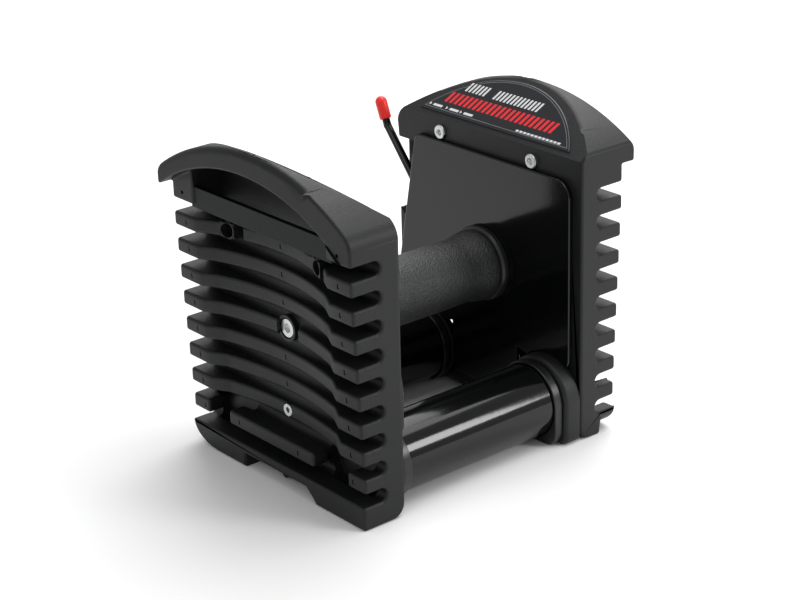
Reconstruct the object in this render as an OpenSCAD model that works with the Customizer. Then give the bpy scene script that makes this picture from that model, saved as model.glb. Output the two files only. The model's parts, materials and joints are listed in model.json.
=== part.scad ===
/* Handle core of a selectorised adjustable dumbbell.
   X runs along the grip, Y across it (front is -Y), Z is up and the floor is z = 0.
   Each end is modelled facing +X; the left end is the same moulding turned half a turn about Z. */

/* [Overall] */
// Width over the two corner posts of an end
width = 154; // [148:1:160]
// Hand space between the inner faces of the two end shells
hand_gap = 130; // [126:1:136]
// Half the length over the tips of the top ribs
tip_half = 96.5; // [94:0.5:99]
// How far the rib tips draw in for each millimetre down
tip_draft = 0.044; // [0:0.001:0.06]

/* [Ribs] */
// Number of ribs on each end
rib_count = 8; // [8:1:8]
// Height of one rib and one slot together
rib_pitch = 15.875; // [15.5:0.005:16]
// Thickness of a rib
rib_h = 8.3; // [7.8:0.1:8.8]
// Underside of the lowest rib above the floor
rib_base = 21; // [20:0.5:22]
// Thickness of the end shell behind the slots
back_t = 12; // [11:0.5:13]
// Distance of the hollowed rib middle from the object's centre
hollow_x = 82.3; // [81:0.1:84]
// Half width of the hollow's arc
hollow_half = 48; // [44:1:52]
// Where the flat corner pieces of the ribs start
corner_y = 57.5; // [54:0.5:60]
// Rounding of the vertical corners
corner_r = 3; // [1:0.5:4]

/* [Cap] */
// Height of the straight inner top edge
edge_z = 166; // [164:0.5:168]
// Top of the arched hood
arch_top = 191.3; // [188:0.1:193]
// Radius of the arched hood
arch_r = 126.5; // [120:0.5:140]
// How far the arch's middle stands off the middle of the end
arch_y = -5; // [-8:0.5:0]
// Highest point of the hood's underside
hood_under = 178.3; // [176:0.1:182]
// Slope of the label face
label_slope = 38; // [34:1:42]
// How far the hood reaches past the rib tips at its long corner
lip = 9.5; // [6:0.5:11]

/* [Foot] */
// Height of the foot
foot_h = 13.4; // [12:0.1:15]
// Distance of the foot's outer face from the object's centre
foot_tip = 93; // [91:0.5:95]
// Height of the notch under the foot
notch_h = 8.8; // [7:0.1:9.5]

/* [Grip] */
// Diameter of the rubber sleeve
grip_d = 38; // [34:0.5:40]
// Diameter of the steel core
core_d = 25.4; // [22:0.1:28]
// Diameter of the flange that closes the sleeve's end
flange_d = 44.4; // [42:0.2:46]

/* [Side tubes] */
// Outside diameter of a side tube
tube_d = 42.6; // [41:0.2:43]
// Wall of a side tube
tube_wall = 1.9; // [1.6:0.1:2.2]
// Distance of each tube's axis from the middle
tube_y = 51.5; // [51:0.1:52]
// Height of the tube axes
tube_z = 22.8; // [22.4:0.1:23]
// Diameter of a loose adder weight
weight_d = 37.6; // [36:0.1:38]
// Length of the deep collar on each end shell
deep_collar = 11.5; // [9:0.5:12]
// Length of the shallow collar on each end shell
shallow_collar = 2.6; // [2:0.2:4]
// Width of the rings on the tubes
ring_w = 5.5; // [4:0.5:7]

/* [Lock] */
// Diameter of the lock lever's rod
rod_d = 4.8; // [4:0.1:5]
// Lean of the rod above the horizontal
rod_lean = 50.5; // [50:0.1:52]
// Length of the rod up to its bend
rod_reach = 141; // [138:1:142]
// Lean of the rod past the bend
tip_lean = 68; // [64:1:72]

/* [Hidden] */
$fn = 64;
fit = 0.05;                       // radial play of pins, shafts and seats
gap = 0.3;                        // room left between pieces that don't touch
hood_r = 119.2;                   // the underside is a flatter arc, set further to one side
hood_y = -10;
strap_x = 92.4;
boss_r = 5;
half_w = width / 2;
inner_x = hand_gap / 2;
root_x = inner_x + back_t;
slot_h = rib_pitch - rib_h;
cap_z = rib_base + rib_count * rib_pitch;
top_rib_z = cap_z - rib_pitch;
arch_z = arch_top - arch_r;
pocket_x = inner_x + 7.5;         // floor of the pocket behind the inner plate
pocket_y = half_w - 10.5;
pocket_z0 = 12;
pocket_z1 = cap_z - 1;
plate_t = 3;
plate_top = 153.5;
grip_z = rib_z(4) + rib_h / 2;
pivot_z = rib_z(7) + rib_h / 2;
stud_y = 39;
stud_z = rib_z(1) + rib_h / 2;
top_screw_y = 38;
top_screw_z = 158;
mouth_r = tube_d / 2 - tube_wall;
lobe_c = [53, 24];                // middle and radius of a collar's round part
lobe_r = 24;
ring_c = [51.5, 23];
ring_r = 22.8;
bottom_screw_z = 4.8;
tube_seat_left = pocket_x - 0.1;
tube_seat_right = inner_x + 4.6;
lock_x = inner_x + 5.1;           // inner face of the lock plate
lock_t = 2;
rod_x = lock_x - rod_d / 2;
rod_end = rod_reach * [cos(rod_lean), sin(rod_lean)];
tip_r = 3.6;
tab_r = 4;
tab_reach = mouth_r - 2;
bush_r = 5;
weight_x0 = -66.2;
weight_x1 = 64;
weight_cap_t = 2.5;

function rib_z(k) = rib_base + (rib_count - k) * rib_pitch;
function tip_x(z) = tip_half - tip_draft * (top_rib_z - z);
function arch_at(y, r = arch_r) = arch_z + sqrt(r * r - (y - arch_y) * (y - arch_y));
function under_at(y) =
    max(hood_under - hood_r + sqrt(hood_r * hood_r - (y - hood_y) * (y - hood_y)), cap_z - 1);
function arc(cx, cy, r, a0, a1, n = 8) =
    [for (i = [0:n]) [cx + r * cos(a0 + (a1 - a0) * i / n), cy + r * sin(a0 + (a1 - a0) * i / n)]];

// A shape drawn in (Y, Z), extruded along +X from x0 to x1
module along_x(x0, x1) {
    translate([x0, 0, 0]) rotate([90, 0, 90]) linear_extrude(x1 - x0) children();
}

// A shape drawn in (X, Z), extruded along Y across the whole width
module across(w = width + 2) {
    translate([0, w / 2, 0]) rotate([90, 0, 0]) linear_extrude(w) children();
}

// A cylinder along +X from x0 to x1
module rod_x(x0, x1, r, y = 0, z = 0) {
    translate([x0, y, z]) rotate([0, 90, 0]) cylinder(h = x1 - x0, r = r);
}

module turned_left() {
    rotate([0, 0, 180]) children();
}

module both_sides(y) {
    for (side = [-1, 1]) translate([0, side * y, 0]) children();
}

/* ---- End shells: black moulded plastic ---- */

// Plan of a rib: flat corner pieces, a slanted step and a hollow arc between them
module rib_plan(tip) {
    sag = tip - 4.5 - hollow_x;
    r = (hollow_half * hollow_half + sag * sag) / (2 * sag);
    a = asin(hollow_half / r);
    polygon(concat(
        [[inner_x + 4, -half_w]],
        arc(tip - corner_r, -half_w + corner_r, corner_r, -90, 0, 5),
        [[tip, -corner_y]],
        arc(hollow_x + r, 0, r, 180 + a, 180 - a, 28),
        [[tip, corner_y]],
        arc(tip - corner_r, half_w - corner_r, corner_r, 0, 90, 5),
        [[inner_x + 4, half_w]]));
}

// Plan of a slab from the inner face out to x, with rounded vertical corners
module slab_plan(x, outer_r = corner_r) {
    polygon(concat(
        arc(inner_x + corner_r, -half_w + corner_r, corner_r, 180, 270, 5),
        arc(x - outer_r, -half_w + outer_r, outer_r, -90, 0, 5),
        arc(x - outer_r, half_w - outer_r, outer_r, 0, 90, 5),
        arc(inner_x + corner_r, half_w - corner_r, corner_r, 90, 180, 5)));
}

// The wall that carries the ribs, rounded where it meets the floor on the hand side
module slab() {
    round_r = 8;
    difference() {
        linear_extrude(cap_z) slab_plan(root_x + slot_h / 2, 0.5);
        difference() {
            translate([inner_x - 1, -half_w - 1, -1]) cube([round_r + 1, width + 2, round_r + 1]);
            translate([inner_x + round_r, half_w + 2, round_r]) rotate([90, 0, 0])
                cylinder(h = width + 4, r = round_r);
        }
    }
}

module ribs() {
    for (k = [1:rib_count]) translate([0, 0, rib_z(k)]) linear_extrude(rib_h)
        if (k == rib_count) slab_plan(tip_x(rib_z(k)));
        else rib_plan(tip_x(rib_z(k)));
}

module foot() {
    difference() {
        linear_extrude(foot_h) intersection() {
            slab_plan(foot_tip);
            translate([inner_x + 8, -half_w]) square([40, width]);
        }
        // notch open to the floor, upright on one side and slanted on the other
        translate([root_x, 0, 0]) rotate([90, 0, 90]) linear_extrude(30)
            polygon([[-28, -1], [-28, notch_h], [27.5, notch_h], [36, -1]]);
        // the corner of the foot under the hood's long corner is cut away
        translate([foot_tip, -52, 0]) rotate([0, 136.5, -32.6])
            translate([-60, -60, 0]) cube([120, 120, 40]);
    }
    rod_x(root_x - 1, root_x + 7, 4.2, 0, bottom_screw_z);
}

// Outline of the hood seen along the grip: an arch with one rounded shoulder
module arch_outline() {
    r = 12;
    y1 = half_w - r;
    lean = asin((y1 - arch_y) / (arch_r - r));
    y2 = arch_y + arch_r * sin(lean);
    polygon(concat(
        [[-half_w, cap_z - 1]],
        [for (i = [0:27]) let (y = -half_w + i * (half_w + y2) / 28) [y, arch_at(y)]],
        arc(y1, arch_at(y1, arch_r - r), r, 90 - lean, 0, 7),
        [[half_w, cap_z - 1]]));
}

// Everything below the hood's underside
module under_hood() {
    polygon(concat(
        [[-half_w - 1, cap_z - 2]],
        [for (i = [0:28]) let (y = -half_w - 1 + i * (width + 2) / 28) [y, under_at(y)]],
        [[half_w + 1, cap_z - 2]]));
}

// Side view of the cap: upright inner face, sloped label face, open outwards
module cap_side(drop = 0) {
    rise = arch_top + 10 - edge_z;
    polygon([[inner_x, cap_z - 1], [inner_x, edge_z - drop],
        [inner_x + rise / tan(label_slope), edge_z + rise - drop],
        [inner_x + 60, edge_z + rise - drop], [inner_x + 60, cap_z - 1]]);
}

// Plan of the hood: its outer edge runs out to the lip at the long corner
module hood_plan() {
    polygon(concat(
        arc(inner_x + corner_r, -half_w + corner_r, corner_r, 180, 270, 5),
        arc(tip_half + lip - corner_r, -half_w + corner_r, corner_r, -90, 0, 5),
        arc(tip_half - corner_r, half_w - corner_r, corner_r, 0, 90, 5),
        arc(inner_x + corner_r, half_w - corner_r, corner_r, 90, 180, 5)));
}

module cap() {
    difference() {
        intersection() {
            along_x(inner_x - 1, inner_x + 60) arch_outline();
            across() cap_side();
            translate([0, 0, cap_z - 1]) linear_extrude(60) hood_plan();
        }
        // only the hood overhangs the corner blocks
        along_x(tip_half, inner_x + 61) under_hood();
        // hollow under the hood, between the corner blocks
        intersection() {
            along_x(root_x, tip_half + 1) under_hood();
            across(2 * corner_y) cap_side(drop = 4.5);
            translate([root_x, -corner_y, cap_z - 2]) cube([60, 2 * corner_y, 60]);
        }
    }
    // root of the cap down to the slab
    translate([0, 0, cap_z - 1]) linear_extrude(1) slab_plan(root_x, 0.5);
}

// Lens on the sloped face, in that face's own plane
module label_lens(grow = 0) {
    intersection() {
        translate([-3, -36.7]) circle(r = 73.5 + grow, $fn = 180);
        translate([-90, 2.2 - grow]) square([180, 60]);
    }
}

module on_label_face(depth, height) {
    translate([inner_x, 0, edge_z]) rotate([0, 90 - label_slope, 0]) rotate([90, 0, 90])
        translate([0, 0, -height]) linear_extrude(depth + height) children();
}

// Outline of the deep collar: round, with its lower outer quarter squared out to a rounded corner
module deep_outline(c, r, corner) {
    translate([-c[0], c[1]]) circle(r = r);
    x = -c[0] - r + corner;
    z = c[1] - r + corner;
    polygon(concat([[-c[0], c[1]], [-c[0] - r, c[1]]], arc(x, z, corner, 180, 270, 6), [[-c[0], c[1] - r]]));
}

// Room cut out of rib k from y0 to y1, ending inside the slots above and below
module rib_gap(k, y0, y1) {
    over = 2.6;
    translate([root_x + 0.6, y0, rib_z(k) - over]) cube([40, y1 - y0, rib_h + 2 * over]);
}

// The deep collar is on the front side of an end, the shallow one on the rear side
module collars() {
    along_x(inner_x - deep_collar, inner_x + 1) deep_outline(lobe_c, lobe_r, 5);
    rod_x(inner_x - shallow_collar, inner_x + 1, ring_r + 0.6, tube_y, tube_z + 0.7);
}

module end_shell(tube_seat, mouth_x) {
    difference() {
        union() {
            slab();
            ribs();
            foot();
            cap();
            // collars that hold the side tubes, flat where they meet the floor
            collars();
        }
        // rounded slot roots
        for (k = [0:rib_count]) translate([root_x + slot_h / 2, 0, rib_z(k) - slot_h / 2])
            rotate([90, 0, 0]) cylinder(h = width + 2, r = slot_h / 2, center = true);
        translate([root_x + slot_h / 2, -half_w - 1, cap_z - slot_h])
            cube([60, width + 2, slot_h]);
        // pocket behind the inner plate, round the bosses that stay
        difference() {
            translate([inner_x - 1, -pocket_y, pocket_z0])
                cube([pocket_x - inner_x + 1, 2 * pocket_y, pocket_z1 - pocket_z0]);
            rod_x(inner_x, pocket_x + 1, 9, 0, grip_z);
            both_sides(tube_y) rod_x(inner_x, tube_seat, lobe_r - 0.5, 0, tube_z);
        }
        // seats of the side tubes and the mouths beyond them
        both_sides(tube_y) rod_x(inner_x - deep_collar - 1, tube_seat, tube_d / 2 + fit, 0, tube_z);
        both_sides(tube_y) rod_x(tube_seat - 1, mouth_x, mouth_r, 0, tube_z);
        // rib 1 has a gap beside each boss, rib 4 one round the handle bolt
        for (y = [-stud_y, stud_y]) rib_gap(1, y + boss_r - 0.4, y + boss_r + 5);
        rib_gap(4, -boss_r - 1, 12);
        // rib 8 is open at the tube mouths
        rib_gap(8, -62, -43);
        rib_gap(8, 33, 62);
        // fastener holes
        rod_x(inner_x - 1, root_x + 5, 4 + fit, 0, grip_z);
        rod_x(root_x - 0.5, root_x + 5, 5.9, 0, grip_z);
        rod_x(inner_x + 7, hollow_x + 1, 3 + fit, 0, pivot_z);
        rod_x(hollow_x - 2.5, hollow_x + 20, 4.1, 0, pivot_z);
        rod_x(inner_x + 5, root_x + 8, 2 + fit, 0, bottom_screw_z);
        both_sides(top_screw_y) rod_x(inner_x - 1, inner_x + 10, 2.5 + fit, 0, top_screw_z);
        both_sides(top_screw_y) rod_x(inner_x - 1, inner_x + 0.6, 4.4, 0, top_screw_z);
        both_sides(half_w - 9.5) rod_x(tip_half - 6, tip_half + 1, 1.1, 0, cap_z + 5);
        both_sides(stud_y) rod_x(root_x + 5.8, tip_half + 5, 4.3, 0, stud_z);
        // slots in the corner blocks that hold the strap
        translate([strap_x - fit, -corner_y - 3 - fit, cap_z - 2])
            cube([3 + 2 * fit, 2 * corner_y + 6 + 2 * fit, 12.5 + fit]);
        // shallow seat of the label panel
        on_label_face(0.8, 5) label_lens(grow = 0.15);
    }
    handle_boss();
    plate_bosses();
}

// Round boss that stands out round the handle bolt's head
module handle_boss() {
    difference() {
        rod_x(root_x - 0.5, root_x + 3.5, 7.5, 0, grip_z);
        rod_x(root_x - 1, root_x + 4, 5.9, 0, grip_z);
    }
}

// Bosses on rib 1 that take the inner plate's screws
module plate_bosses() {
    difference() {
        both_sides(stud_y) rod_x(root_x - 1, root_x + 10.5, boss_r, 0, stud_z);
        both_sides(stud_y) rod_x(root_x - 2, root_x + 11, 2.5 + fit, 0, stud_z);
        both_sides(stud_y) rod_x(root_x + 6, root_x + 11, 4.05, 0, stud_z);
    }
}

module left_end_shell() {
    color("#303231") turned_left() difference() {
        end_shell(tube_seat_left, root_x + 4);
        both_sides(stud_y) rod_x(pocket_x - 1, root_x + 6.5, 2.5 + fit, 0, stud_z);
    }
}

module right_end_shell() {
    color("#303231") difference() {
        end_shell(tube_seat_right, foot_tip + 10);
        both_sides(stud_y) rod_x(pocket_x - 1, root_x + 6.5, 2.5 + fit, 0, stud_z);
        // the lever sweeps through a notch in the rear post
        along_x(inner_x - 1, pocket_x)
            polygon([[pocket_y - 1, 92.5], [half_w + 1, 104], [half_w + 1, 147], [pocket_y - 1, 147]]);
        // the lock plate's tabs sweep between the tube's end and the mouth
        both_sides(tube_y) rod_x(tube_seat_right, pocket_x, mouth_r + 1.6, 0, tube_z);
        along_x(tube_seat_right, pocket_x) translate([24, 6.5]) square([20, 8]);
    }
}

/* ---- Inner plates: black enamelled steel ---- */

module plate_outline() {
    difference() {
        polygon(concat(
            [[-28, 12], [-28, 44], [-64, 35.5], [-70, 47]],
            arc(-59.5, plate_top - 10.5, 10.5, 180, 90, 8),
            arc(54, plate_top - 5, 5, 90, 14, 4),
            [[75, 70], [74.3, 49.5], [64, 35.5], [28, 44], [28, 12]]));
        translate([0, grip_z]) circle(r = core_d / 2 + fit);
        for (side = [-1, 1]) translate([side * lobe_c[0], lobe_c[1]]) circle(r = lobe_r + gap);
    }
}

module inner_plate() {
    along_x(inner_x - plate_t, inner_x) plate_outline();
}

module left_inner_plate() {
    color("#151716") turned_left() inner_plate();
}

module right_inner_plate() {
    color("#151716") inner_plate();
}

/* ---- Top straps and label panels ---- */

module top_strap() {
    translate([strap_x, -corner_y - 3, cap_z - 1.5]) cube([3, 2 * corner_y + 6, 12]);
}

module left_top_strap() {
    color("#3a3c3b") turned_left() top_strap();
}

module right_top_strap() {
    color("#3a3c3b") top_strap();
}

module label_panel() {
    on_label_face(0.8, 0.6) label_lens();
}

module left_label_panel() {
    color("#2b2c31") turned_left() label_panel();
}

module right_label_panel() {
    color("#2b2c31") label_panel();
}

/* ---- Grip: steel core in a rubber sleeve, closed by two flanges ---- */

module grip_core() {
    color("silver") difference() {
        rod_x(-inner_x, inner_x, core_d / 2, 0, grip_z);
        rod_x(-inner_x - 1, -inner_x + 26, 4 + fit, 0, grip_z);
        rod_x(inner_x - 26, inner_x + 1, 4 + fit, 0, grip_z);
    }
}

// Half profile of the sleeve as (distance along the grip, radius), mirrored for the other half
module grip_sleeve() {
    r = grip_d / 2;
    end = inner_x - 8;
    half = [[end, r + 1.2], [end - 0.8, r + 1.9], [end - 6, r + 1.8], [end - 9.5, r + 1.2],
        [end - 13, r - 0.2], [end - 16.5, r - 0.9], [end - 21, r - 0.5], [end - 26, r]];
    color("#3b3d3d") translate([0, 0, grip_z]) rotate([0, 90, 0]) rotate_extrude($fn = 96)
        polygon(concat(
            [[core_d / 2 + fit, -end], [core_d / 2 + fit, end]],
            [for (p = half) [p[1], p[0]]],
            [for (i = [len(half) - 1:-1:0]) [half[i][1], -half[i][0]]]));
}

module grip_flange() {
    translate([inner_x - 8, 0, grip_z]) rotate([0, 90, 0]) rotate_extrude($fn = 96)
        polygon([[core_d / 2 + fit, 0.1], [flange_d / 2 - 1.5, 0.1], [flange_d / 2 - 0.4, 0.8],
            [flange_d / 2, 2], [flange_d / 2, 5], [core_d / 2 + fit, 5]]);
}

module left_grip_flange() {
    color("#1c1e1e") turned_left() grip_flange();
}

module right_grip_flange() {
    color("#1c1e1e") grip_flange();
}

/* ---- Fasteners: zinc-plated steel ---- */

// Screw along X with its head outwards: head from x1 to x1 + head_h, shank back to x0
module screw_out(x0, x1, shank_r, head_r, head_h, z, socket_r) {
    difference() {
        union() {
            rod_x(x0, x1, shank_r, 0, z);
            rod_x(x1, x1 + head_h, head_r, 0, z);
        }
        translate([x1 + head_h - head_h * 0.6, 0, z]) rotate([0, 90, 0])
            cylinder(h = head_h, r = socket_r, $fn = 6);
    }
}

module handle_bolt() {
    screw_out(inner_x - 24, root_x + 0.5, 4, 5.2, 2.6, grip_z, 2.9);
}

module left_handle_bolt() {
    color("silver") turned_left() handle_bolt();
}

module right_handle_bolt() {
    color("silver") handle_bolt();
}

module bolt_washer() {
    difference() {
        rod_x(root_x - 0.5, root_x + 0.5, 5.8, 0, grip_z);
        rod_x(root_x - 1, root_x + 1, 4 + fit, 0, grip_z);
    }
}

module left_bolt_washer() {
    color("silver") turned_left() bolt_washer();
}

module right_bolt_washer() {
    color("silver") bolt_washer();
}

// Button-head screws that face the hand
module top_screws() {
    both_sides(top_screw_y) difference() {
        union() {
            rod_x(inner_x + 0.6, inner_x + 9, 2.5, 0, top_screw_z);
            rod_x(inner_x - 1.8, inner_x + 0.6, 4.25, 0, top_screw_z);
        }
        translate([inner_x - 2, 0, top_screw_z]) rotate([0, 90, 0]) cylinder(h = 1.6, r = 1.7, $fn = 6);
    }
}

module left_top_screws() {
    color("silver") turned_left() top_screws();
}

module right_top_screws() {
    color("silver") top_screws();
}

// Screws that draw the inner plate against the shell
module plate_screws() {
    both_sides(stud_y) screw_out(inner_x + 0.5, root_x + 6, 2.5, 3.9, 2.4, stud_z, 1.9);
}

module left_plate_screws() {
    color("silver") turned_left() plate_screws();
}

module right_plate_screws() {
    color("silver") plate_screws();
}

module plate_nuts() {
    both_sides(stud_y) difference() {
        translate([inner_x, 0, stud_z]) rotate([0, 90, 0]) cylinder(h = 4.5, r = 4.6, $fn = 6);
        rod_x(inner_x - 1, inner_x + 6, 2.5 + fit, 0, stud_z);
    }
}

module left_plate_nuts() {
    color("silver") turned_left() plate_nuts();
}

module right_plate_nuts() {
    color("silver") plate_nuts();
}

module centre_screw() {
    screw_out(inner_x + 0.3, hollow_x - 2.5, 3, 3.7, 2.8, pivot_z, 1.7);
}

module left_centre_screw() {
    color("silver") turned_left() centre_screw();
}

module lock_pivot_screw() {
    color("silver") centre_screw();
}

module bottom_screw() {
    screw_out(inner_x + 6, root_x + 7, 2, 3.5, 2.2, bottom_screw_z, 1.5);
}

module left_bottom_screw() {
    color("#2a2a2a") turned_left() bottom_screw();
}

module right_bottom_screw() {
    color("#2a2a2a") bottom_screw();
}

/* ---- Side tubes and the adder weights in them ---- */

module side_tube() {
    difference() {
        rod_x(-tube_seat_left, tube_seat_right, tube_d / 2, 0, tube_z);
        rod_x(-tube_seat_left - 1, tube_seat_right + 1, mouth_r, 0, tube_z);
    }
}

module front_side_tube() {
    color("#141615") translate([0, -tube_y, 0]) side_tube();
}

module rear_side_tube() {
    color("#141615") translate([0, tube_y, 0]) side_tube();
}

// Rubber rings where the tubes enter the collars
module tube_rings() {
    deep_x = inner_x - deep_collar;
    shallow_x = inner_x - shallow_collar;
    difference() {
        union() {
            along_x(deep_x - ring_w, deep_x) deep_outline(ring_c, ring_r, 8.5);
            rod_x(shallow_x - ring_w, shallow_x, ring_r - 0.3, tube_y, tube_z);
        }
        both_sides(tube_y) rod_x(deep_x - ring_w - 1, inner_x, tube_d / 2 + fit, 0, tube_z);
    }
}

module left_tube_rings() {
    color("#101111") turned_left() tube_rings();
}

module right_tube_rings() {
    color("#101111") tube_rings();
}

// Closed ends of the tubes, which stop the weights on the left
module left_tube_plugs() {
    color("#1d1f1f") both_sides(tube_y)
        rod_x(-tube_seat_left, weight_x0 - gap, mouth_r - fit, 0, tube_z);
}

module adder_weight() {
    rod_x(weight_x0, weight_x1, weight_d / 2, 0, tube_z);
}

module weight_cap() {
    difference() {
        rod_x(weight_x1, weight_x1 + weight_cap_t, weight_d / 2 - 0.4, 0, tube_z);
        rod_x(weight_x1 + 1, weight_x1 + weight_cap_t + 1, weight_d / 2 - 4, 0, tube_z);
    }
}

module front_adder_weight() {
    color("silver") translate([0, -tube_y, 0]) adder_weight();
}

module rear_adder_weight() {
    color("silver") translate([0, tube_y, 0]) adder_weight();
}

module front_weight_cap() {
    color("#222424") translate([0, -tube_y, 0]) weight_cap();
}

module rear_weight_cap() {
    color("#222424") translate([0, tube_y, 0]) weight_cap();
}

/* ---- Lock: a bent lever that turns a plate with two tabs over the tube mouths ---- */

module lock_pivot_bush() {
    color("#b08d57") difference() {
        rod_x(inner_x + 0.3, pocket_x, bush_r, 0, pivot_z);
        rod_x(inner_x, pocket_x + 1, 3 + fit, 0, pivot_z);
    }
}

// Torsion spring round the bush, drawn as its closed turns
module lock_return_spring() {
    wire = 0.75;
    color("silver") for (i = [0:2])
        translate([inner_x + 1.2 + i * (2 * wire + 0.02), 0, pivot_z]) rotate([0, 90, 0])
            rotate_extrude() translate([bush_r + 1.4, 0]) circle(r = wire, $fn = 24);
}

// A flat arm in (Y, Z) from the pivot to a point, with a round end
module lock_arm(y, z, w) {
    rotate(atan2(z, y)) translate([0, -w / 2]) square([norm([y, z]), w]);
    translate([y, z]) circle(r = w / 2 + 0.6);
}

module lock_plate() {
    drop = tube_z - pivot_z;
    color("#8d9092") difference() {
        translate([0, 0, pivot_z]) along_x(lock_x, lock_x + lock_t) {
            circle(r = 9.5);
            // rear tab reaches the lower inner edge of its mouth, front tab the upper one
            lock_arm(tube_y + tab_reach * cos(200), drop + tab_reach * sin(200), 2 * tab_r);
            lock_arm(-tube_y + tab_reach * cos(60), drop + tab_reach * sin(60), 2 * tab_r);
            lock_arm(34 * cos(rod_lean), 34 * sin(rod_lean), 9);
        }
        rod_x(lock_x - 1, lock_x + lock_t + 1, bush_r + fit, 0, pivot_z);
    }
}

// The rod's own plane: drawn in (Y, Z) from the pivot, with the rod along the drawing's X
module rod_piece(from, lean, l0, l1, r) {
    translate(from) rotate(lean) rotate([0, 90, 0]) translate([0, 0, l0]) cylinder(h = l1 - l0, r = r);
}

module lock_rod() {
    color("#141515") translate([rod_x, 0, pivot_z]) {
        rotate([90, 0, 90]) {
            rod_piece([0, 0], rod_lean, 11, rod_reach, rod_d / 2);
            rod_piece(rod_end, tip_lean, 0, 14, rod_d / 2);
        }
        // the bend is slightly swollen
        translate([0, rod_end[0], rod_end[1]]) sphere(r = rod_d / 2 + 0.15);
    }
}

module lock_rod_tip() {
    color("#f0302a") translate([rod_x, 0, pivot_z]) rotate([90, 0, 90]) {
        difference() {
            rod_piece(rod_end, tip_lean, 4, 15.6, tip_r);
            rod_piece(rod_end, tip_lean, 3, 14.1, rod_d / 2);
        }
        // stepped towards the domed end
        rod_piece(rod_end, tip_lean, 15.6, 16.9, tip_r - 0.5);
        rod_piece(rod_end, tip_lean, 16.9, 18, tip_r - 1.6);
    }
}

left_end_shell();
right_end_shell();
left_inner_plate();
right_inner_plate();
left_top_strap();
right_top_strap();
left_label_panel();
right_label_panel();
grip_core();
grip_sleeve();
left_grip_flange();
right_grip_flange();
left_handle_bolt();
right_handle_bolt();
left_bolt_washer();
right_bolt_washer();
left_top_screws();
right_top_screws();
left_plate_screws();
right_plate_screws();
left_plate_nuts();
right_plate_nuts();
left_centre_screw();
lock_pivot_screw();
left_bottom_screw();
right_bottom_screw();
front_side_tube();
rear_side_tube();
left_tube_rings();
right_tube_rings();
left_tube_plugs();
front_adder_weight();
rear_adder_weight();
front_weight_cap();
rear_weight_cap();
lock_pivot_bush();
lock_return_spring();
lock_plate();
lock_rod();
lock_rod_tip();
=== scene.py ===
import json
import math

import bmesh
import bpy
from mathutils import Matrix, Vector

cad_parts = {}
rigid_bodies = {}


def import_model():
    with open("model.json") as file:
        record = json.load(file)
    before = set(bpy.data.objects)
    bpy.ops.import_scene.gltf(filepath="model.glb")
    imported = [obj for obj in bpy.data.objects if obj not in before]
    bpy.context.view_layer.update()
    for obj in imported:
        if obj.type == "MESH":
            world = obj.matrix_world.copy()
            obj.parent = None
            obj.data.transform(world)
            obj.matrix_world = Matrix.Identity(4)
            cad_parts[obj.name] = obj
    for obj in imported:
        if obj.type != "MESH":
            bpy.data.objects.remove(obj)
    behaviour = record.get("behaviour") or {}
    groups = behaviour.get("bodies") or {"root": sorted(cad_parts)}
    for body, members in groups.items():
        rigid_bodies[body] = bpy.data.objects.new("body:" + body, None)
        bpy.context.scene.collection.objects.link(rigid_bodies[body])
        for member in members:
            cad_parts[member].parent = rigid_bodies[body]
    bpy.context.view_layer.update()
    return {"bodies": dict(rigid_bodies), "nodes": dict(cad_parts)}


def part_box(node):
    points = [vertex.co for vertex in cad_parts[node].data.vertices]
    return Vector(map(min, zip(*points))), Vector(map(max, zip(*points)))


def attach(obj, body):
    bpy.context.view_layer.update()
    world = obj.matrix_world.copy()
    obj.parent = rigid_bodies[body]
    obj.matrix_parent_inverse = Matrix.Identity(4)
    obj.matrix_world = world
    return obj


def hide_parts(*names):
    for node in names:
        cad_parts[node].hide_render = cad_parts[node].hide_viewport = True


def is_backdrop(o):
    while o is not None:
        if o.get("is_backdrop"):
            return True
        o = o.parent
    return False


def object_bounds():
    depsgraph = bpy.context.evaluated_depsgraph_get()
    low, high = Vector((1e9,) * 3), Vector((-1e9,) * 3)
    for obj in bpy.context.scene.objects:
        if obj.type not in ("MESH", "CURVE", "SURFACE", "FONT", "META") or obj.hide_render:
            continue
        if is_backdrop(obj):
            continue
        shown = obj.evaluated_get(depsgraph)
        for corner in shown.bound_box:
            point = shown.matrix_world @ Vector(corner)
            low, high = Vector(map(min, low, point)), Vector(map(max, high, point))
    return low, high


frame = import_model()

# ---- Studio ----
# A seamless pale sweep, lit by large soft panels from above and around, with the camera looking
# slightly down on the near end. Nothing here belongs to the dumbbell.


def paint(value):
    """An sRGB hex colour as linear red, green, blue and alpha."""
    parts = [int(value[i:i + 2], 16) / 255 for i in (1, 3, 5)]
    return [p / 12.92 if p <= 0.04045 else ((p + 0.055) / 1.055) ** 2.4 for p in parts] + [1.0]


def node(tree, kind, links=(), **settings):
    """Adds one shader node: settings name its properties or inputs, links pair an input with an output."""
    made = tree.nodes.new(kind)
    for name, value in settings.items():
        if name in made.inputs:
            made.inputs[name].default_value = value
        else:
            setattr(made, name, value)
    for name, source in dict(links).items():
        tree.links.new(source, made.inputs[name])
    return made


def finish_of(name, colour, roughness, metallic=0.0, **settings):
    """A named finish: a material, its node tree and its Principled shader."""
    material = bpy.data.materials.new(name)
    material.use_nodes = True
    tree = material.node_tree
    shader = tree.nodes["Principled BSDF"]
    shader.inputs["Base Color"].default_value = paint(colour)
    shader.inputs["Roughness"].default_value = roughness
    shader.inputs["Metallic"].default_value = metallic
    for key, value in settings.items():
        shader.inputs[key].default_value = value
    return material, tree, shader


scene = bpy.context.scene
scene.view_settings.view_transform = "Standard"

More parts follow.
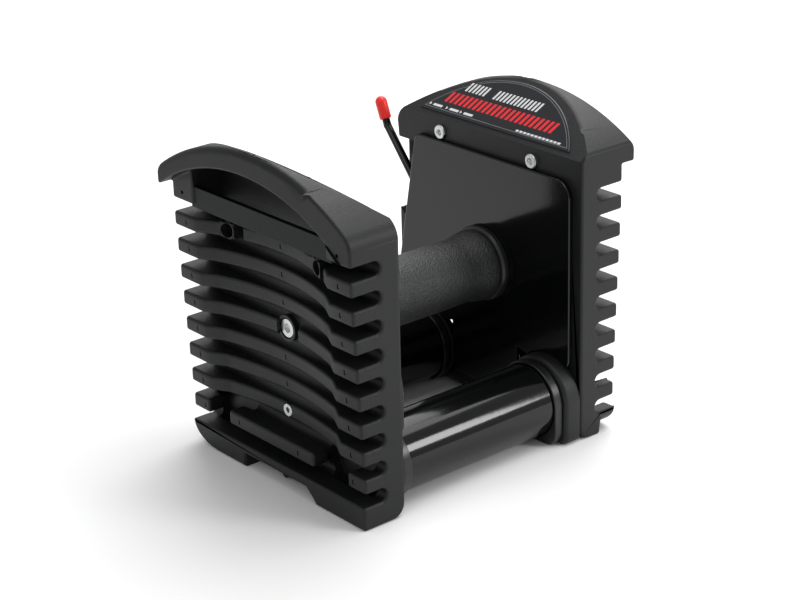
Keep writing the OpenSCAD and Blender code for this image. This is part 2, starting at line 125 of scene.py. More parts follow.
camera_data = bpy.data.cameras.new("camera")
camera_data.lens = 94.04
camera_data.sensor_width = 36
camera = bpy.data.objects.new("camera", camera_data)
camera.matrix_world = (
    Matrix.Translation((-0.6933, -0.8336, 0.5216))
    @ Matrix.Rotation(math.radians(-39.71), 4, "Z")
    @ Matrix.Rotation(math.radians(67.95), 4, "X")
    @ Matrix.Rotation(math.radians(-1.60), 4, "Z")
)
scene.collection.objects.link(camera)
scene.camera = camera

world = bpy.data.worlds.new("studio")
world.use_nodes = True
world.node_tree.nodes["Background"].inputs["Color"].default_value = (1, 1, 1, 1)
world.node_tree.nodes["Background"].inputs["Strength"].default_value = 0.52
scene.world = world

FLOOR_HALF = 6
floor_paint = finish_of("matt_white_sweep", "#f4f4f4", 0.9)[0]
sweep = bmesh.new()
bmesh.ops.create_grid(sweep, x_segments=1, y_segments=1, size=FLOOR_HALF)
floor_mesh = bpy.data.meshes.new("floor")
sweep.to_mesh(floor_mesh)
sweep.free()
floor = bpy.data.objects.new("floor", floor_mesh)
floor.data.materials.append(floor_paint)
scene.collection.objects.link(floor)
floor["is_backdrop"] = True

# Each panel's place in metres, its width in metres and its power in watts
AIMED_AT = Vector((0, 0, 0.08))
PANELS = {
    "back_panel": ((0.9, 0.75, 1.3), 1.4, 20),
    "top_panel": ((0.45, -0.35, 1.6), 1.2, 13),
    "front_panel": ((0.85, -1.3, 0.7), 0.45, 9),
    "left_panel": ((-1.5, -0.2, 1.0), 0.8, 3),
}
for name, (place, size, power) in PANELS.items():
    light = bpy.data.lights.new(name, "AREA")
    light.size = size
    light.energy = power
    panel = bpy.data.objects.new(name, light)
    panel.location = place
    panel.rotation_euler = (AIMED_AT - Vector(place)).to_track_quat("-Z", "Y").to_euler()
    scene.collection.objects.link(panel)

# ---- End housings ----
# Each end is one glass-filled nylon moulding: a wall with eight ribs, a foot, collars for the side
# tubes and an arched cap. It is moulded in a spark-eroded tool, so it is dull with a fine grain and
# every edge has a small radius. Both ends come from the same tool, so the left is the right turned.
# Everything on an end is drawn in millimetres facing +X.
TURNS = {"left": math.pi, "right": 0.0}
HALF_W = 77.0
INNER_X = 65.0
ROOT_X = 77.0
TIP_X, TIP_DRAFT = 96.5, 0.044
RIBS, RIB_BASE = 8, 21.0
PITCH = 15.875
RIB_H = 8.3
HOLLOW_X, HOLLOW_HALF = 82.3, 48
CORNER_Y, STEP_IN = 57.5, 5
SLOT_R = (PITCH - RIB_H) / 2
CAP_Z = RIB_BASE + RIBS * PITCH
POCKET_X, POCKET_Y, POCKET_Z = 72.5, 66.5, 12
TUBE_Y, TUBE_Z = 51.5, 22.8
TUBE_R, MOUTH_R = 21.3, 19.4
TUBE_END = 69.6
GRIP_Z = RIB_BASE + 4 * PITCH + RIB_H / 2
PIVOT_Z = RIB_BASE + PITCH + RIB_H / 2
STUD_Y, STUD_Z = 39.0, RIB_BASE + 7 * PITCH + RIB_H / 2
BOSS_R, BOSS_END = 5, 87.5
FOOT_SCREW_Z = 4.8
PIN_HOLE_Y, PIN_HOLE_Z = 67.5, CAP_Z + 5
CLEAR = 0.05
ARCH_Y, ARCH_R, ARCH_TOP = -5.0, 126.5, 191.3
HOOD_Y, HOOD_R, HOOD_UNDER = -10.0, 119.2, 178.3
SLOPE = math.radians(38)
EDGE_Z = 166.0
LIP_X = 106.0
FOOT_TIP, FOOT_H = 93.0, 13.4
NOTCH_H = 8.8
EDGE_R, BROW_R = 1.6, 4.0
# Beyond every end in X, so that a cut runs right through
PAST_X = 120


def bend(cx, cy, r, start, stop, steps=8):
    """Points along an arc, angles in degrees."""
    angles = [math.radians(start + (stop - start) * i / steps) for i in range(steps + 1)]
    return [(cx + r * math.cos(a), cy + r * math.sin(a)) for a in angles]


def extruded(outline, low, high, axis="X"):
    """A prism in millimetres. X: outline in (Y, Z). Y: outline in (X, Z). Z: outline in (X, Y)."""
    bm = bmesh.new()
    spot = {"X": lambda a, b: (low, a, b), "Y": lambda a, b: (a, low, b), "Z": lambda a, b: (a, b, low)}
    step = {"X": (1, 0, 0), "Y": (0, 1, 0), "Z": (0, 0, 1)}[axis]
    face = bm.faces.new([bm.verts.new(spot[axis](*p)) for p in outline])
    grown = bmesh.ops.extrude_face_region(bm, geom=[face])
    moved = [g for g in grown["geom"] if isinstance(g, bmesh.types.BMVert)]
    bmesh.ops.translate(bm, verts=moved, vec=Vector(step) * (high - low))
    bmesh.ops.recalc_face_normals(bm, faces=bm.faces)
    return bm


def bar(x0, x1, r, y=0.0, z=0.0, segments=64):
    """A round bar along X."""
    bm = bmesh.new()
    bmesh.ops.create_cone(bm, cap_ends=True, segments=segments, radius1=r, radius2=r, depth=x1 - x0)
    place = Matrix.Translation(((x0 + x1) / 2, y, z)) @ Matrix.Rotation(math.pi / 2, 4, "Y")
    bmesh.ops.transform(bm, matrix=place, verts=bm.verts)
    return bm


def soften(bm, radius, segments=3, over=25, wanted=None, held=True):
    """Rounds every edge that turns by more than so many degrees, or those of them that are wanted."""
    edges = [
        e for e in bm.edges
        if len(e.link_faces) == 2 and e.calc_face_angle(0) > math.radians(over)
        and (wanted is None or wanted(e))
    ]
    bmesh.ops.bevel(
        bm, geom=edges, offset=radius, offset_type="OFFSET", segments=segments, profile=0.5,
        affect="EDGES", clamp_overlap=held, material=-1,
    )
    return bm


def cut_off(bm, point, normal):
    """Saws off what lies beyond a plane and closes the cut."""
    cut = bmesh.ops.bisect_plane(
        bm, geom=bm.verts[:] + bm.edges[:] + bm.faces[:], plane_co=point, plane_no=normal,
        clear_outer=True, dist=1e-4,
    )
    rim = [g for g in cut["geom_cut"] if isinstance(g, bmesh.types.BMEdge)]
    bmesh.ops.contextual_create(bm, geom=rim)
    bmesh.ops.recalc_face_normals(bm, faces=bm.faces)
    return bm


def solid(bm, name="solid"):
    """A loose object in millimetres for joining and cutting, not yet part of the scene."""
    mesh = bpy.data.meshes.new(name)
    bm.to_mesh(mesh)
    bm.free()
    made = bpy.data.objects.new(name, mesh)
    scene.collection.objects.link(made)
    return made


def combine(target, others, operation):
    """Joins solids to the target or cuts them out of it, one after another, and bakes the result."""
    for other in others:
        step = target.modifiers.new("step", "BOOLEAN")
        step.operation = operation
        step.solver = "EXACT"
        step.object = other
    bpy.context.view_layer.update()
    mesh = bpy.data.meshes.new_from_object(target.evaluated_get(bpy.context.evaluated_depsgraph_get()))
    target.modifiers.clear()
    target.data = mesh
    for other in others:
        bpy.data.objects.remove(other)
    return target


def settle(made, name, cad_node, material, turn=0.0, unit=0.001, smooth=35):
    """Puts a finished solid in the frame: metres, its own end, its body and its finish."""
    made.name = made.data.name = name
    made.data.transform(Matrix.Rotation(turn, 4, "Z") @ Matrix.Scale(unit, 4))
    made.data.materials.clear()
    made.data.materials.append(material)
    made.data.polygons.foreach_set("use_smooth", [True] * len(made.data.polygons))
    made.data.set_sharp_from_angle(angle=math.radians(smooth))
    even = made.modifiers.new("even_shading", "WEIGHTED_NORMAL")
    even.keep_sharp = True
    even.weight = 90
    body = next(b for b, empty in frame["bodies"].items() if frame["nodes"][cad_node].parent == empty)
    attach(made, body)
    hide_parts(cad_node)
    return made


def front_of_rib(y, tip):
    """How far out a rib reaches at y: flat corner, slanted step, hollow arc."""
    y = abs(y)
    if y >= CORNER_Y:
        return tip
    if y >= HOLLOW_HALF:
        return tip - STEP_IN * (CORNER_Y - y) / (CORNER_Y - HOLLOW_HALF)
    sag = tip - STEP_IN - HOLLOW_X
    r = (HOLLOW_HALF ** 2 + sag ** 2) / (2 * sag)
    return HOLLOW_X + r - math.sqrt(r * r - y * y)


def arch(y, radius=ARCH_R):
    """Height of the hood's top at y, or of an arc inside it with the same middle."""
    return ARCH_TOP - ARCH_R + math.sqrt(radius ** 2 - (y - ARCH_Y) ** 2)


def under_hood(y):
    """Height of the hood's underside at y."""
    return max(HOOD_UNDER - HOOD_R + math.sqrt(HOOD_R ** 2 - (y - HOOD_Y) ** 2), CAP_Z - 1)


def rib_bottom(k):
    """Underside of rib k, counted from the top."""
    return CAP_Z - k * PITCH


def rib_tip(k):
    """How far out rib k reaches: the mould draws the lower ribs in a little."""
    return TIP_X - TIP_DRAFT * (rib_bottom(1) - rib_bottom(k))


def block():
    """The end seen from its side, pulled across the width: a wall, nine slots, ribs, foot and cap."""
    spare, heel_r = 3, 8
    ridge = INNER_X + (ARCH_TOP + spare - EDGE_Z) / math.tan(SLOPE)
    outline = bend(INNER_X + heel_r, heel_r, heel_r, 270, 180, 6)
    outline += [(INNER_X, EDGE_Z), (ridge, ARCH_TOP + spare)]
    outline += [(LIP_X + spare, ARCH_TOP + spare), (LIP_X + spare, CAP_Z)]
    for k in range(1, RIBS + 2):
        middle = CAP_Z + SLOT_R - k * PITCH + RIB_H
        outline += bend(ROOT_X + SLOT_R, middle, SLOT_R, 90, 270, 8)
        if k <= RIBS:
            outline += [(rib_tip(k), rib_bottom(k) + RIB_H), (rib_tip(k), rib_bottom(k))]
    outline += [(FOOT_TIP, FOOT_H), (FOOT_TIP, 0)]
    return extruded(outline, -HALF_W, HALF_W, "Y")


def rib_cuts():
    """What is missing from the ribs: the hollow front, gaps beside the bosses, room for the tubes."""
    hollows, openings = [], []
    stations = [-CORNER_Y, -HOLLOW_HALF] + list(range(-44, 48, 4)) + [HOLLOW_HALF, CORNER_Y]
    for k in range(1, RIBS):
        front = [(front_of_rib(y, rib_tip(k)), y) for y in stations]
        plan = [(PAST_X, -CORNER_Y), (PAST_X, CORNER_Y)] + front[::-1]
        hollows.append(extruded(plan, rib_bottom(k) - 2, rib_bottom(k) + RIB_H + 2, "Z"))
    beside = (BOSS_R - 0.4, 2 * BOSS_R)
    gaps = [(1, -STUD_Y + beside[0], -STUD_Y + beside[1]), (1, STUD_Y + beside[0], STUD_Y + beside[1])]
    gaps += [(4, -6, 12), (8, -62, -43), (8, 33, 62)]
    for k, y0, y1 in gaps:
        z0, z1 = rib_bottom(k) - 2.6, rib_bottom(k) + RIB_H + 2.6
        openings.append(extruded([(y0, z0), (y1, z0), (y1, z1), (y0, z1)], ROOT_X + 0.6, PAST_X, "X"))
    return together(hollows), together(openings)


def foot_cuts():
    """The notch under the foot, and its far corner swept up in a broad curve."""
    notch = [(-28, -1), (-28, NOTCH_H), (27.5, NOTCH_H), (36, -1)]
    run, rise = 23, 13
    curve = [math.radians(a) for a in range(-96, -181, -12)]
    sweep_up = [(-79, -1), (-54, -1), (-54, 0)]
    sweep_up += [(-54 + run * math.cos(a), rise + rise * math.sin(a)) for a in curve]
    sweep_up += [(-79, rise)]
    return [extruded(notch, ROOT_X + 1, 100, "X"), extruded(sweep_up, 81, 100, "X")]


def cap_cuts():
    """Above the arch, in front of the skewed lip, below the hood, and the window behind it."""
    shoulder, side, sky = 12, 80, 220
    lean = math.degrees(math.asin((HALF_W - shoulder - ARCH_Y) / (ARCH_R - shoulder)))
    y_end = ARCH_Y + ARCH_R * math.sin(math.radians(lean))
    grid = [2.5 * i for i in range(-32, 33)]
    over = [(-side, sky)] + [(y, arch(y)) for y in grid if y < y_end - 1]
    over += bend(HALF_W - shoulder, arch(HALF_W - shoulder, ARCH_R - shoulder), shoulder, 90 - lean, 0, 8)
    over += [(side, over[-1][1]), (side, sky)]
    ahead = [(LIP_X, -HALF_W - 1), (PAST_X, -HALF_W - 1), (PAST_X, HALF_W + 1), (TIP_X, HALF_W + 1)]
    under = [(-side, CAP_Z - 4)] + [(y, under_hood(y)) for y in grid] + [(side, CAP_Z - 4)]
    inner = [y for y in grid if abs(y) <= CORNER_Y]
    window = [(-CORNER_Y, CAP_Z - 2)] + [(y, under_hood(y)) for y in inner] + [(CORNER_Y, CAP_Z - 2)]
    hollow = extruded(window, ROOT_X, TIP_X + 1, "X")
    cut_off(hollow, (INNER_X, 0, EDGE_Z - 4.5), (-math.sin(SLOPE), 0, math.cos(SLOPE)))
    return [
        extruded(over, 60, PAST_X, "X"), extruded(ahead, CAP_Z - 2, 230, "Z"),
        extruded(under, TIP_X, LIP_X + 9, "X"), hollow,
    ]


def together(pieces, name="loose"):
    """Several separate pieces, none touching another, as one loose object."""
    bm = bmesh.new()
    for piece in pieces:
        mesh = bpy.data.meshes.new("piece")
        piece.to_mesh(mesh)
        piece.free()
        bm.from_mesh(mesh)
        bpy.data.meshes.remove(mesh)
    return solid(bm, name)


def remesh(made, change):
    """Opens an object's mesh, cleans what a cut leaves behind, changes it and closes it again."""
    bm = bmesh.new()
    bm.from_mesh(made.data)
    bmesh.ops.remove_doubles(bm, verts=bm.verts, dist=0.01)
    bmesh.ops.dissolve_limit(bm, angle_limit=math.radians(1), verts=bm.verts, edges=bm.edges)
    change(bm)
    bm.to_mesh(made.data)
    bm.free()


def deep_collar(x0, x1, y, z, r, corner):
    """A deep collar: round, squared out at its lower outer side."""
    outline = bend(-y, z, r, 270, 540, 48) + bend(-y - r + corner, z - r + corner, corner, 180, 270, 8)
    return extruded(outline, x0, x1, "X")


def mark_spots():
    """Where the tool's pins leave their small L-shaped marks: x, y and z on the fronts of the ribs."""
    spots = []
    for k in range(1, RIBS + 1):
        across = [(-66, rib_tip(k)), (66, rib_tip(k))]
        across += [(0, HOLLOW_X)] if k < RIBS and k != 4 else []
        across += [(-34, rib_tip(k)), (19, rib_tip(k))] if k == RIBS else []
        spots += [(x, y, rib_bottom(k) + RIB_H / 2) for y, x in across]
    return spots


def marks():
    """The marks as small angle-shaped plugs, to be cut out of the ribs."""
    made = []
    for x, y, z in mark_spots():
        shape = [(0, -1.3), (1.5, -1.3), (1.5, -0.6), (0.8, -0.6), (0.8, 1.4), (0, 1.4)]
        made.append(extruded([(y + a, z + b) for a, b in shape], x - 0.6, x + 1.5, "X"))
    return made


def takes_a_radius(edge):
    """Edges on the sides and fronts, but not those of marks, bosses and screw holes."""
    shortest = 0.25
    middle = (edge.verts[0].co + edge.verts[1].co) / 2
    y, z = middle.y, middle.z
    if edge.calc_length() < shortest:
        return False
    if any(abs(y - spot[1] - 0.7) < 1.5 and abs(z - spot[2]) < 2 for spot in mark_spots()):
        return False
    bosses = [(-STUD_Y, STUD_Z, 6.5), (STUD_Y, STUD_Z, 6.5), (0, GRIP_Z, 8), (0, PIVOT_Z, 4.2)]
    bosses += [(0, FOOT_SCREW_Z, 5), (-PIN_HOLE_Y, PIN_HOLE_Z, 1.5), (PIN_HOLE_Y, PIN_HOLE_Z, 1.5)]
    if any(math.hypot(y - by, z - bz) < r for by, bz, r in bosses):
        return False
    on_side = all(abs(abs(v.co.y) - HALF_W) < 0.01 for v in edge.verts)
    return on_side or min(v.co.x for v in edge.verts) > ROOT_X + 2.5


def moulding(end):
    """One end as a solid, with its pocket, sockets and screw holes cut. Its edges are rounded last."""
    made = solid(block(), "moulding")
    combine(made, [solid(c) for c in cap_cuts() + foot_cuts()] + list(rib_cuts()), "DIFFERENCE")
    collars = [
        soften(deep_collar(53.5, 66, 53, 24, 24, 5), 2.6, 4, 50),
        soften(bar(62.4, 66, 23.4, TUBE_Y, TUBE_Z + 0.7, 96), 1.0, 3, 50),
    ]
    bosses = [bar(ROOT_X - 1, BOSS_END, BOSS_R, y, STUD_Z) for y in (-STUD_Y, STUD_Y)]
    bosses += [bar(ROOT_X - 1, 80.6, 7.5, 0, GRIP_Z), bar(ROOT_X - 1, 84, 4.2, 0, FOOT_SCREW_Z)]
    combine(made, [solid(p) for p in collars + bosses], "UNION")

    top = CAP_Z - 1
    pocket = [(-POCKET_Y, POCKET_Z), (POCKET_Y, POCKET_Z), (POCKET_Y, top), (-POCKET_Y, top)]
    round_the_bolt = solid(bar(INNER_X - 2, POCKET_X + 2, 9, 0, GRIP_Z))
    room = combine(solid(extruded(pocket, INNER_X - 1, POCKET_X, "X")), [round_the_bolt], "DIFFERENCE")
    both = (-TUBE_Y, TUBE_Y)
    seats = [bar(50, TUBE_END, TUBE_R + CLEAR, y, TUBE_Z, 96) for y in both]
    mouth_end = 110 if end == "right" else 81
    mouths = [bar(69, mouth_end, MOUTH_R, y, TUBE_Z, 96) for y in both]
    holes = [bar(83, 90, 4.05, y, STUD_Z) for y in (-STUD_Y, STUD_Y)]
    holes += [bar(76.5, 84, 5.9, 0, GRIP_Z), bar(79.8, 100, 4.1, 0, PIVOT_Z)]
    holes += [bar(82, 86, 2.6, 0, FOOT_SCREW_Z)]
    holes += [bar(90, 100, 1.1, y, PIN_HOLE_Z, 24) for y in (-PIN_HOLE_Y, PIN_HOLE_Y)]
    cuts = [room, together(seats), together(mouths), together(holes + marks())]
    if end == "right":
        # the lever's notch, and room for the lock plate's tabs to sweep
        notch = [(POCKET_Y - 1, 92.5), (HALF_W + 1, 104), (HALF_W + 1, 147), (POCKET_Y - 1, 147)]
        tab = [(24, 6.5), (44, 6.5), (44, 14.5), (24, 14.5)]
        cuts += [solid(extruded(notch, INNER_X - 1, POCKET_X, "X"))]
        cuts += [solid(extruded(tab, TUBE_END, POCKET_X, "X"))]
        cuts += [together([bar(TUBE_END, POCKET_X, MOUTH_R + 1.6, y, TUBE_Z, 96) for y in both])]
    combine(made, cuts, "DIFFERENCE")

    def on_brow(edge):
        return all(v.co.z > under_hood(v.co.y) + 6 and v.co.x > TIP_X + 2 for v in edge.verts)

    remesh(made, lambda bm: soften(bm, BROW_R, 5, 32, on_brow, False))
    remesh(made, lambda bm: soften(bm, EDGE_R, 3, 32, takes_a_radius, False))
    # rounding can push a point just outside the moulding, so it is brought back to its faces
    for v in made.data.vertices:
        v.co.y = max(-HALF_W, min(HALF_W, v.co.y))
        v.co.z = max(0.0, min(arch(v.co.y), v.co.z))
    return made


def moulded_nylon():
    """Glass-filled nylon off a spark-eroded tool: charcoal and dull, its grain drawn about 0.8 mm wide."""
    material, tree, shader = finish_of("grained_black_nylon", "#121413", 0.46)
    shader.inputs["Specular IOR Level"].default_value = 0.32
    where = node(tree, "ShaderNodeTexCoord")
    grain = node(tree, "ShaderNodeTexNoise", {"Vector": where.outputs["Object"]}, Scale=1200.0, Detail=3.0)
    cloud = node(tree, "ShaderNodeTexNoise", {"Vector": where.outputs["Object"]}, Scale=45.0, Detail=4.0)
    tint = node(tree, "ShaderNodeValToRGB", {"Fac": cloud.outputs["Fac"]})
    tint.color_ramp.elements[0].color = paint("#0e0f0f")
    tint.color_ramp.elements[1].color = paint("#161817")
    gloss = node(tree, "ShaderNodeMapRange", {"Value": cloud.outputs["Fac"]})
    gloss.inputs["To Min"].default_value = 0.40
    gloss.inputs["To Max"].default_value = 0.54
    # drawn coarser and deeper than a real spark-eroded grain, so that it shows
    bump = node(tree, "ShaderNodeBump", {"Height": grain.outputs["Fac"]}, Strength=0.6, Distance=0.00025)
    tree.links.new(tint.outputs["Color"], shader.inputs["Base Color"])
    tree.links.new(gloss.outputs["Result"], shader.inputs["Roughness"])
    tree.links.new(bump.outputs["Normal"], shader.inputs["Normal"])
    return material


nylon = moulded_nylon()
for end, turn in TURNS.items():
    settle(moulding(end), end + "_housing", end + "_end_shell", nylon, turn)

# ---- Plates, straps, fasteners and other turned or pressed parts ----
# These keep the shape of their CAD nodes. Each is copied, its loose triangles are merged, and its
# edges get the small radius that pressing, turning or plating leaves.


def eased(cad_node, name, material, radius, segments=3):
    """A merged copy of a CAD node with its edges eased by a radius in millimetres."""
    bm = bmesh.new()
    bm.from_mesh(frame["nodes"][cad_node].data)
    bmesh.ops.remove_doubles(bm, verts=bm.verts, dist=1e-6)
    bmesh.ops.dissolve_limit(bm, angle_limit=math.radians(0.5), verts=bm.verts, edges=bm.edges)
    made = solid(bm, name)
    ease = made.modifiers.new("eased_edges", "BEVEL")
    ease.width = radius / 1000
    ease.segments = segments
    ease.limit_method = "ANGLE"
    ease.angle_limit = math.radians(32)
    return settle(made, name, cad_node, material, unit=1.0)


def gloss_enamel():
    """Black enamel sprayed on steel and baked: near mirror gloss with a faint orange peel."""
    material, tree, shader = finish_of("gloss_black_enamel", "#070808", 0.11)
    shader.inputs["Specular IOR Level"].default_value = 0.38
    where = node(tree, "ShaderNodeTexCoord")
    peel = node(tree, "ShaderNodeTexNoise", {"Vector": where.outputs["Object"]}, Scale=260.0, Detail=2.0)
    bump = node(tree, "ShaderNodeBump", {"Height": peel.outputs["Fac"]}, Strength=0.08, Distance=0.0002)
    tree.links.new(bump.outputs["Normal"], shader.inputs["Normal"])
    return material


def zinc_plate(name, colour, roughness):
    """Bright zinc over steel: cool grey, slightly cloudy from the plating bath."""
    material, tree, shader = finish_of(name, colour, roughness, 1.0)
    where = node(tree, "ShaderNodeTexCoord")
    cloud = node(tree, "ShaderNodeTexNoise", {"Vector": where.outputs["Object"]}, Scale=700.0, Detail=3.0)
    haze = node(tree, "ShaderNodeMapRange", {"Value": cloud.outputs["Fac"]})
    haze.inputs["To Min"].default_value = roughness - 0.08
    haze.inputs["To Max"].default_value = roughness + 0.12
    tree.links.new(haze.outputs["Result"], shader.inputs["Roughness"])
    return material


def rubber(name, colour, roughness, grit, depth):
    """Moulded rubber: dull black with a fine pebbled skin, its grit and its depth in millimetres."""
    material, tree, shader = finish_of(name, colour, roughness)
    where = node(tree, "ShaderNodeTexCoord")
    pebble = node(tree, "ShaderNodeTexVoronoi", {"Vector": where.outputs["Object"]}, Scale=800 / grit)
    speck = node(
        tree, "ShaderNodeTexNoise", {"Vector": where.outputs["Object"]}, Scale=600 / grit, Detail=4.0,
    )
    tint = node(tree, "ShaderNodeValToRGB", {"Fac": speck.outputs["Fac"]})
    tint.color_ramp.elements[0].position = 0.35
    tint.color_ramp.elements[0].color = [c * 0.6 for c in paint(colour)[:3]] + [1]
    tint.color_ramp.elements[1].position = 0.7
    tint.color_ramp.elements[1].color = [min(1, c * 1.6) for c in paint(colour)[:3]] + [1]
    bump = node(
        tree, "ShaderNodeBump", {"Height": pebble.outputs["Distance"]}, Strength=0.9, Distance=depth / 1000,
    )
    tree.links.new(tint.outputs["Color"], shader.inputs["Base Color"])
    tree.links.new(bump.outputs["Normal"], shader.inputs["Normal"])
    return material


enamel = gloss_enamel()
zinc = zinc_plate("bright_zinc_plate", "#c9cbcb", 0.28)
dull_plating = zinc_plate("dark_dull_plating", "#2a2d2d", 0.5)
oiled_steel = zinc_plate("turned_oiled_steel", "#8f9192", 0.3)
spring_wire = zinc_plate("bright_spring_wire", "#a9abab", 0.22)
brass = zinc_plate("turned_brass", "#b8934f", 0.25)
black_oxide = zinc_plate("black_oxide_steel", "#1c1d1e", 0.4)
satin_black = rubber("satin_black_moulding", "#161717", 0.4, 0.5, 0.02)
ring_rubber = rubber("plain_black_rubber", "#0f1010", 0.32, 0.8, 0.02)

for end in TURNS:
    eased(end + "_inner_plate", end + "_face_plate", enamel, 0.7)
    eased(end + "_top_strap", end + "_strap", dull_plating, 0.3)
    eased(end + "_handle_bolt", end + "_socket_bolt", zinc, 0.35)
    eased(end + "_bolt_washer", end + "_washer", zinc, 0.1)
    eased(end + "_top_screws", end + "_button_screws", zinc, 0.7)
    eased(end + "_plate_screws", end + "_rib_screws", black_oxide, 0.3)
    eased(end + "_plate_nuts", end + "_nuts", zinc, 0.25)
    eased(end + "_bottom_screw", end + "_foot_screw", black_oxide, 0.3)
    eased(end + "_tube_rings", end + "_rings", ring_rubber, 1.2)
    eased(end + "_grip_flange", end + "_flange", satin_black, 0.6)
eased("left_centre_screw", "left_middle_screw", zinc, 0.3)
eased("lock_pivot_screw", "pivot_screw", zinc, 0.3)
eased("grip_core", "grip_bar", oiled_steel, 0.5)
for side in ("front", "rear"):
    eased(side + "_side_tube", side + "_tube", enamel, 0.4)
    eased(side + "_adder_weight", side + "_weight", oiled_steel, 1.0)
    eased(side + "_weight_cap", side + "_cap", satin_black, 0.4)
eased("left_tube_plugs", "tube_plugs", satin_black, 0.5)
eased("lock_pivot_bush", "pivot_bush", brass, 0.3)
eased("lock_return_spring", "return_spring", spring_wire, 0.05)
eased("lock_plate", "locking_plate", dull_plating, 0.3)
eased("lock_rod", "lever_rod", enamel, 0.3)

# ---- Grip sleeve ----
# A rubber sleeve moulded over the steel bar, drawn in slightly before each flared end, with a
# pebbled skin for the hand. Its section is spun about the bar.
grip_rubber = rubber("pebbled_grip_rubber", "#1f2020", 0.5, 0.9, 0.35)
low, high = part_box("grip_sleeve")
reach = high.x * 1000
# points as (distance along the grip, radius) in millimetres, from the middle to one end
section = [
    (0, 19.0), (reach - 26, 19.0), (reach - 22, 18.85), (reach - 18, 18.7), (reach - 14, 18.9),
    (reach - 11, 19.5), (reach - 8, 20.2), (reach - 5, 20.7), (reach - 2.5, 20.9),
    (reach - 0.9, 20.85), (reach - 0.2, 20.5), (reach, 20.0), (reach, 12.8),
]
bm = bmesh.new()
line = [bm.verts.new((x, 0, r)) for x, r in section]
for a, b in zip(line, line[1:]):
    bm.edges.new((a, b))
bmesh.ops.spin(
    bm, geom=bm.verts[:] + bm.edges[:], cent=(0, 0, 0), axis=(1, 0, 0), angle=2 * math.pi, steps=96,
    use_merge=True, use_duplicate=False,
)
bmesh.ops.mirror(bm, geom=bm.verts[:] + bm.edges[:] + bm.faces[:], axis="X", merge_dist=0.01)
bmesh.ops.remove_doubles(bm, verts=bm.verts, dist=0.01)
bmesh.ops.translate(bm, verts=bm.verts, vec=(0, 0, GRIP_Z))
bmesh.ops.recalc_face_normals(bm, faces=bm.faces)
sleeve = settle(solid(bm), "rubber_sleeve", "grip_sleeve", grip_rubber, smooth=50)

# ---- Red tip of the lever ----
# A vinyl cap dipped and pushed on the rod: bright red, slightly glossy, with a domed end.
vinyl, tree, shader = finish_of("dipped_red_vinyl", "#f2241c", 0.34)
shader.inputs["Subsurface Weight"].default_value = 0.15
shader.inputs["Subsurface Radius"].default_value = (0.002, 0.0005, 0.0005)
where = node(tree, "ShaderNodeTexCoord")
skin = node(tree, "ShaderNodeTexNoise", {"Vector": where.outputs["Object"]}, Scale=350.0, Detail=2.0)
bump = node(tree, "ShaderNodeBump", {"Height": skin.outputs["Fac"]}, Strength=0.15, Distance=0.0002)
tree.links.new(bump.outputs["Normal"], shader.inputs["Normal"])
ROD_X = 67.7
ROD_LEAN, TIP_LEAN = 50.5, 68.0
ROD_REACH = 141.0


def along_lever(profile, start, lean):
    """Spins a profile of (distance, radius) and stands it at start in the lever's plane, at a lean."""
    bm = bmesh.new()
    line = [bm.verts.new((d, 0, r)) for d, r in profile]
    for a, b in zip(line, line[1:]):
        bm.edges.new((a, b))
    bmesh.ops.spin(
        bm, geom=bm.verts[:] + bm.edges[:], cent=(0, 0, 0), axis=(1, 0, 0), angle=2 * math.pi, steps=32,
        use_merge=True, use_duplicate=False,
    )
    bmesh.ops.remove_doubles(bm, verts=bm.verts, dist=0.01)
    bmesh.ops.recalc_face_normals(bm, faces=bm.faces)
    place = Matrix.Translation((ROD_X, start[0], PIVOT_Z + start[1]))
    place @= Matrix.Rotation(math.radians(90), 4, "Z") @ Matrix.Rotation(math.radians(-lean), 4, "Y")
    bmesh.ops.transform(bm, matrix=place, verts=bm.verts)
    return bm


knee = (ROD_REACH * math.cos(math.radians(ROD_LEAN)), ROD_REACH * math.sin(math.radians(ROD_LEAN)))
dome = [(14.4 + y, x) for x, y in bend(0, 0, 3.6, 0, 90, 10)]
# from the open rim, which hugs the rod, to the closed dome
cap_profile = [(4, 2.3), (4, 3.1), (4.3, 3.45), (4.8, 3.6)] + dome[:-1] + [(18.0, 0.02)]
settle(
    solid(along_lever(cap_profile, knee, TIP_LEAN)), "red_tip", "lock_rod_tip", vinyl, smooth=60,
)

# ---- Label panels ----
# A printed film under a clear domed resin, stuck in a shallow seat on the sloped face. The print is
# a plain ground with slanted bars and three small arrows, and no lettering.
LABEL_R, LABEL_Y, LABEL_S, CHORD_S = 73.5, -3.0, -36.7, 3.5


def on_slope(bm, turn):
    """Moves a shape drawn flat in (Y along, X up the slope) on to the sloped face of an end."""
    tilt = Matrix.Translation((INNER_X, 0, EDGE_Z)) @ Matrix.Rotation(-SLOPE, 4, "Y")
    bmesh.ops.transform(bm, matrix=Matrix.Rotation(turn, 4, "Z") @ tilt, verts=bm.verts)
    return bm


film, tree, shader = finish_of("domed_resin_over_film", "#141519", 0.1)
where = node(tree, "ShaderNodeTexCoord")
fleck = node(tree, "ShaderNodeTexNoise", {"Vector": where.outputs["Object"]}, Scale=90.0, Detail=2.0)
ground = node(tree, "ShaderNodeValToRGB", {"Fac": fleck.outputs["Fac"]})
ground.color_ramp.elements[0].color = paint("#101116")
ground.color_ramp.elements[1].color = paint("#191a20")
tree.links.new(ground.outputs["Color"], shader.inputs["Base Color"])
white_print = finish_of("white_print", "#d9dcdc", 0.25)[0]
grey_print = finish_of("grey_print", "#6f7478", 0.25)[0]
red_print = finish_of("red_print", "#e0202a", 0.25)[0]
RESIN_TOP = 0.9
PRINT = (RESIN_TOP - 0.02, RESIN_TOP + 0.04)


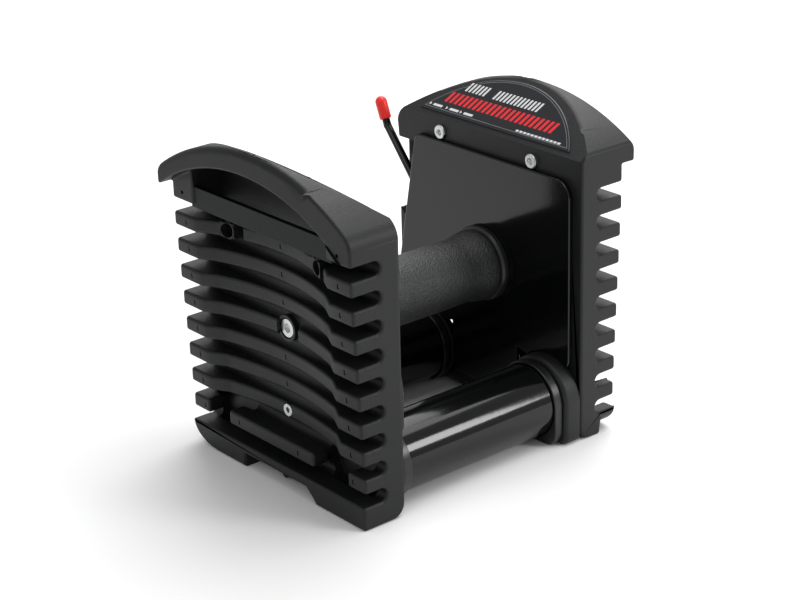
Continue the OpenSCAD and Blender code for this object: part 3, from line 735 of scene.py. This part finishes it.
def lens(inset):
    """Outline of the label, set in from its rim."""
    r, chord = LABEL_R - inset, CHORD_S + inset
    half = math.degrees(math.acos((chord - LABEL_S) / r))
    return [(x, LABEL_Y + y) for x, y in bend(LABEL_S, 0, r, -half, half, 60)]


def stroke(y, s, width, height, lean=0.25):
    """One slanted bar of print: y is where it starts along the label, s how far up the slope."""
    shift = lean * height
    corners = [(s, y), (s, y - width), (s + height, y - width - shift), (s + height, y - shift)]
    return extruded(corners, *PRINT, "Z")


def arrow(y, s):
    """A small arrow head with a short bar beside it."""
    head = extruded([(s, y), (s + 1.1, y - 1.6), (s + 2.2, y)], *PRINT, "Z")
    return [head, stroke(y - 3, s + 0.3, 7.5, 1.5)]


def rim_line():
    """The thin light line printed just inside the rim."""
    ring = solid(extruded(lens(1.5), *PRINT, "Z"))
    combine(ring, [solid(extruded(lens(1.85), RESIN_TOP - 0.5, RESIN_TOP + 0.5, "Z"))], "DIFFERENCE")
    bm = bmesh.new()
    bm.from_mesh(ring.data)
    bpy.data.objects.remove(ring)
    return bm


def printed(pieces, name, turn, material):
    """Print on one label: it rides with the label's own body."""
    made = together(pieces, name)
    bm = bmesh.new()
    bm.from_mesh(made.data)
    bpy.data.objects.remove(made)
    made = solid(on_slope(bm, turn), name)
    made.data.transform(Matrix.Scale(0.001, 4))
    made.data.materials.append(material)
    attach(made, "core")


for end, turn in TURNS.items():
    bm = extruded(lens(0), -0.7, RESIN_TOP, "Z")
    soften(bm, 0.7, 4, 40, lambda e: min(v.co.z for v in e.verts) > 0.5)
    settle(solid(on_slope(bm, turn)), end + "_label", end + "_label_panel", film)
    white = [stroke(35 - 2.9 * i, 21, 1.5, 6.5) for i in range(21) if i not in (6, 7)]
    small = arrow(53, 6) + arrow(39, 6) + arrow(27, 6)
    small += [stroke(-20 - 3 * i, 5.8, 2.2, 1.3) for i in range(12)]
    red = [stroke(44 - 3.9 * i, 10.8, 2.2, 7.6) for i in range(23)]
    printed(white + small, end + "_white_print", turn, white_print)
    printed(red, end + "_red_print", turn, red_print)
    printed([rim_line()], end + "_rim_line", turn, grey_print)

low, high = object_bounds()
